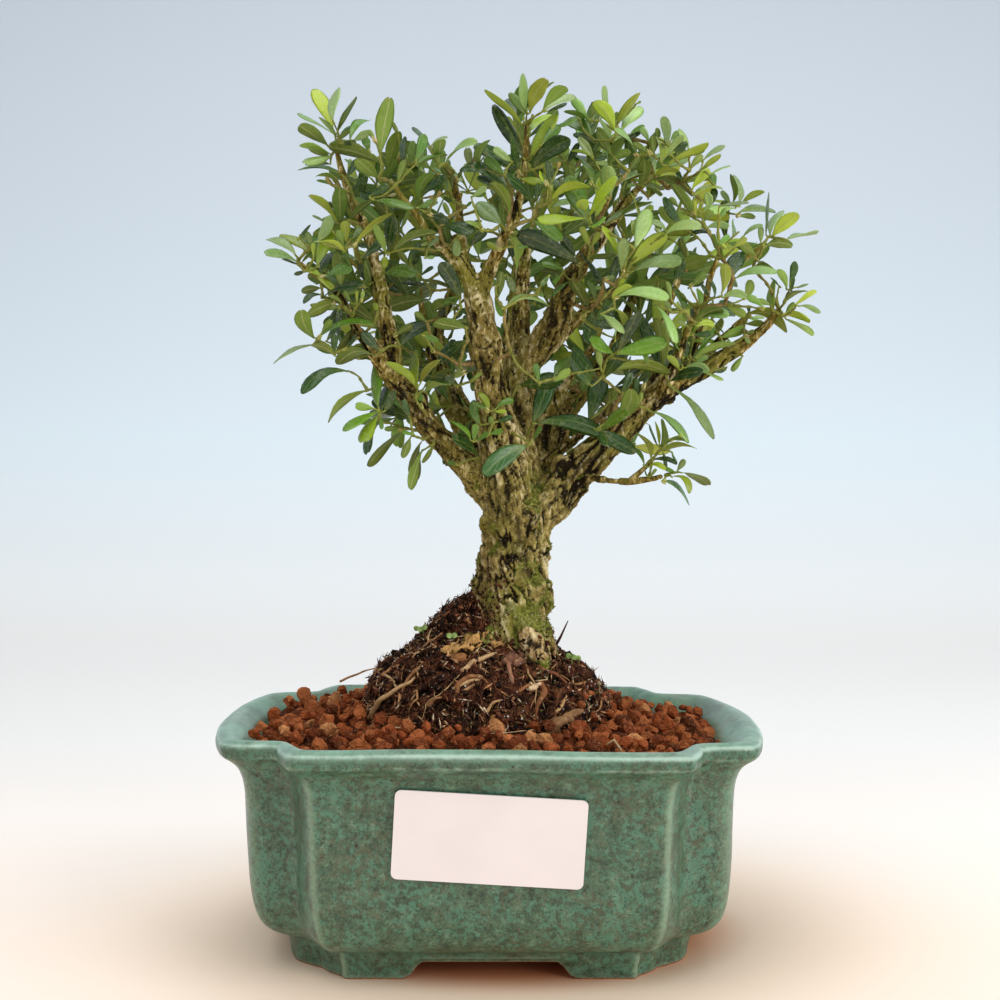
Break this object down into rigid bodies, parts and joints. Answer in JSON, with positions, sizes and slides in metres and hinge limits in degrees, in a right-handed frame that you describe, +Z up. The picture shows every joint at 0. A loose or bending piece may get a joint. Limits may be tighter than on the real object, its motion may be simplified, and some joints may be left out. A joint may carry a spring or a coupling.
{
  "type": "boxwood bonsai in a glazed pot",
  "caption": "Boxwood bonsai with a mossy forked trunk and a rounded leafy crown, set in granular clay soil in a glazed oblong pot with notched corners and feet.",
  "frame": {"origin": "bottom centre of the whole object's box, on the surface that the pot's feet stand on", "axes": "+Z up, +X to the right and -Y towards the viewer who faces the pot's long labelled side"},
  "size_m": [0.163, 0.1238, 0.2457],
  "materials": {
    "glaze": "mottled teal-green gloss glaze over brown clay",
    "screen_plastic": "matte",
    "clip_wire": "satin",
    "granular_clay": "matte",
    "peat_and_roots": "matte",
    "bark": "matte",
    "label_stock": "satin",
    "leaf": "satin"
  },
  "bodies": {
    "root": {"pot": "glaze", "drain_screen_left": "screen_plastic", "screen_clip_left": "clip_wire", "drain_screen_right": "screen_plastic", "screen_clip_right": "clip_wire", "trunk_and_branches": "bark", "root_ball": "peat_and_roots", "soil_bed": "granular_clay", "label": "label_stock", "spray_right_top_inner_a": "leaf", "spray_right_mid_front_a": "leaf", "spray_right_low_back_a": "leaf", "spray_left_mid_back_a": "leaf", "spray_middle_low_back_a": "leaf", "spray_middle_low_back_a_second": "leaf", "spray_middle_mid_back_a": "leaf", "spray_left_low_front_a": "leaf", "spray_middle_low_back_b": "leaf", "spray_middle_low_back_b_second": "leaf", "spray_middle_top_back_a": "leaf", "spray_middle_top_front_a": "leaf", "spray_middle_top_front_a_second": "leaf", "spray_middle_low_back_c": "leaf", "spray_middle_low_back_c_second": "leaf", "spray_right_mid_front_b": "leaf", "spray_middle_top_back_b": "leaf", "spray_middle_low_front_a": "leaf", "spray_left_mid_front_a": "leaf", "spray_left_mid_front_a_second": "leaf", "spray_left_mid_back_b": "leaf", "spray_left_mid_back_b_second": "leaf", "spray_left_top_inner_a": "leaf", "spray_middle_top_inner_a": "leaf", "spray_right_mid_back_a": "leaf", "spray_middle_top_back_c": "leaf", "spray_left_top_inner_b": "leaf", "spray_left_top_inner_b_second": "leaf", "spray_middle_mid_front_a": "leaf", "spray_middle_mid_front_b": "leaf", "spray_right_top_front_a": "leaf", "spray_middle_top_front_b": "leaf", "spray_right_mid_front_c": "leaf", "spray_right_low_inner_a": "leaf", "spray_middle_top_back_d": "leaf", "spray_right_low_front_a": "leaf", "spray_left_mid_front_b": "leaf", "spray_right_mid_inner_a": "leaf", "spray_left_mid_front_c": "leaf", "spray_left_top_front_a": "leaf", "spray_right_low_front_b": "leaf", "spray_right_mid_inner_b": "leaf", "spray_left_low_front_b": "leaf", "spray_middle_low_front_b": "leaf", "spray_middle_low_inner_a": "leaf"}
  },
  "joints": []
}
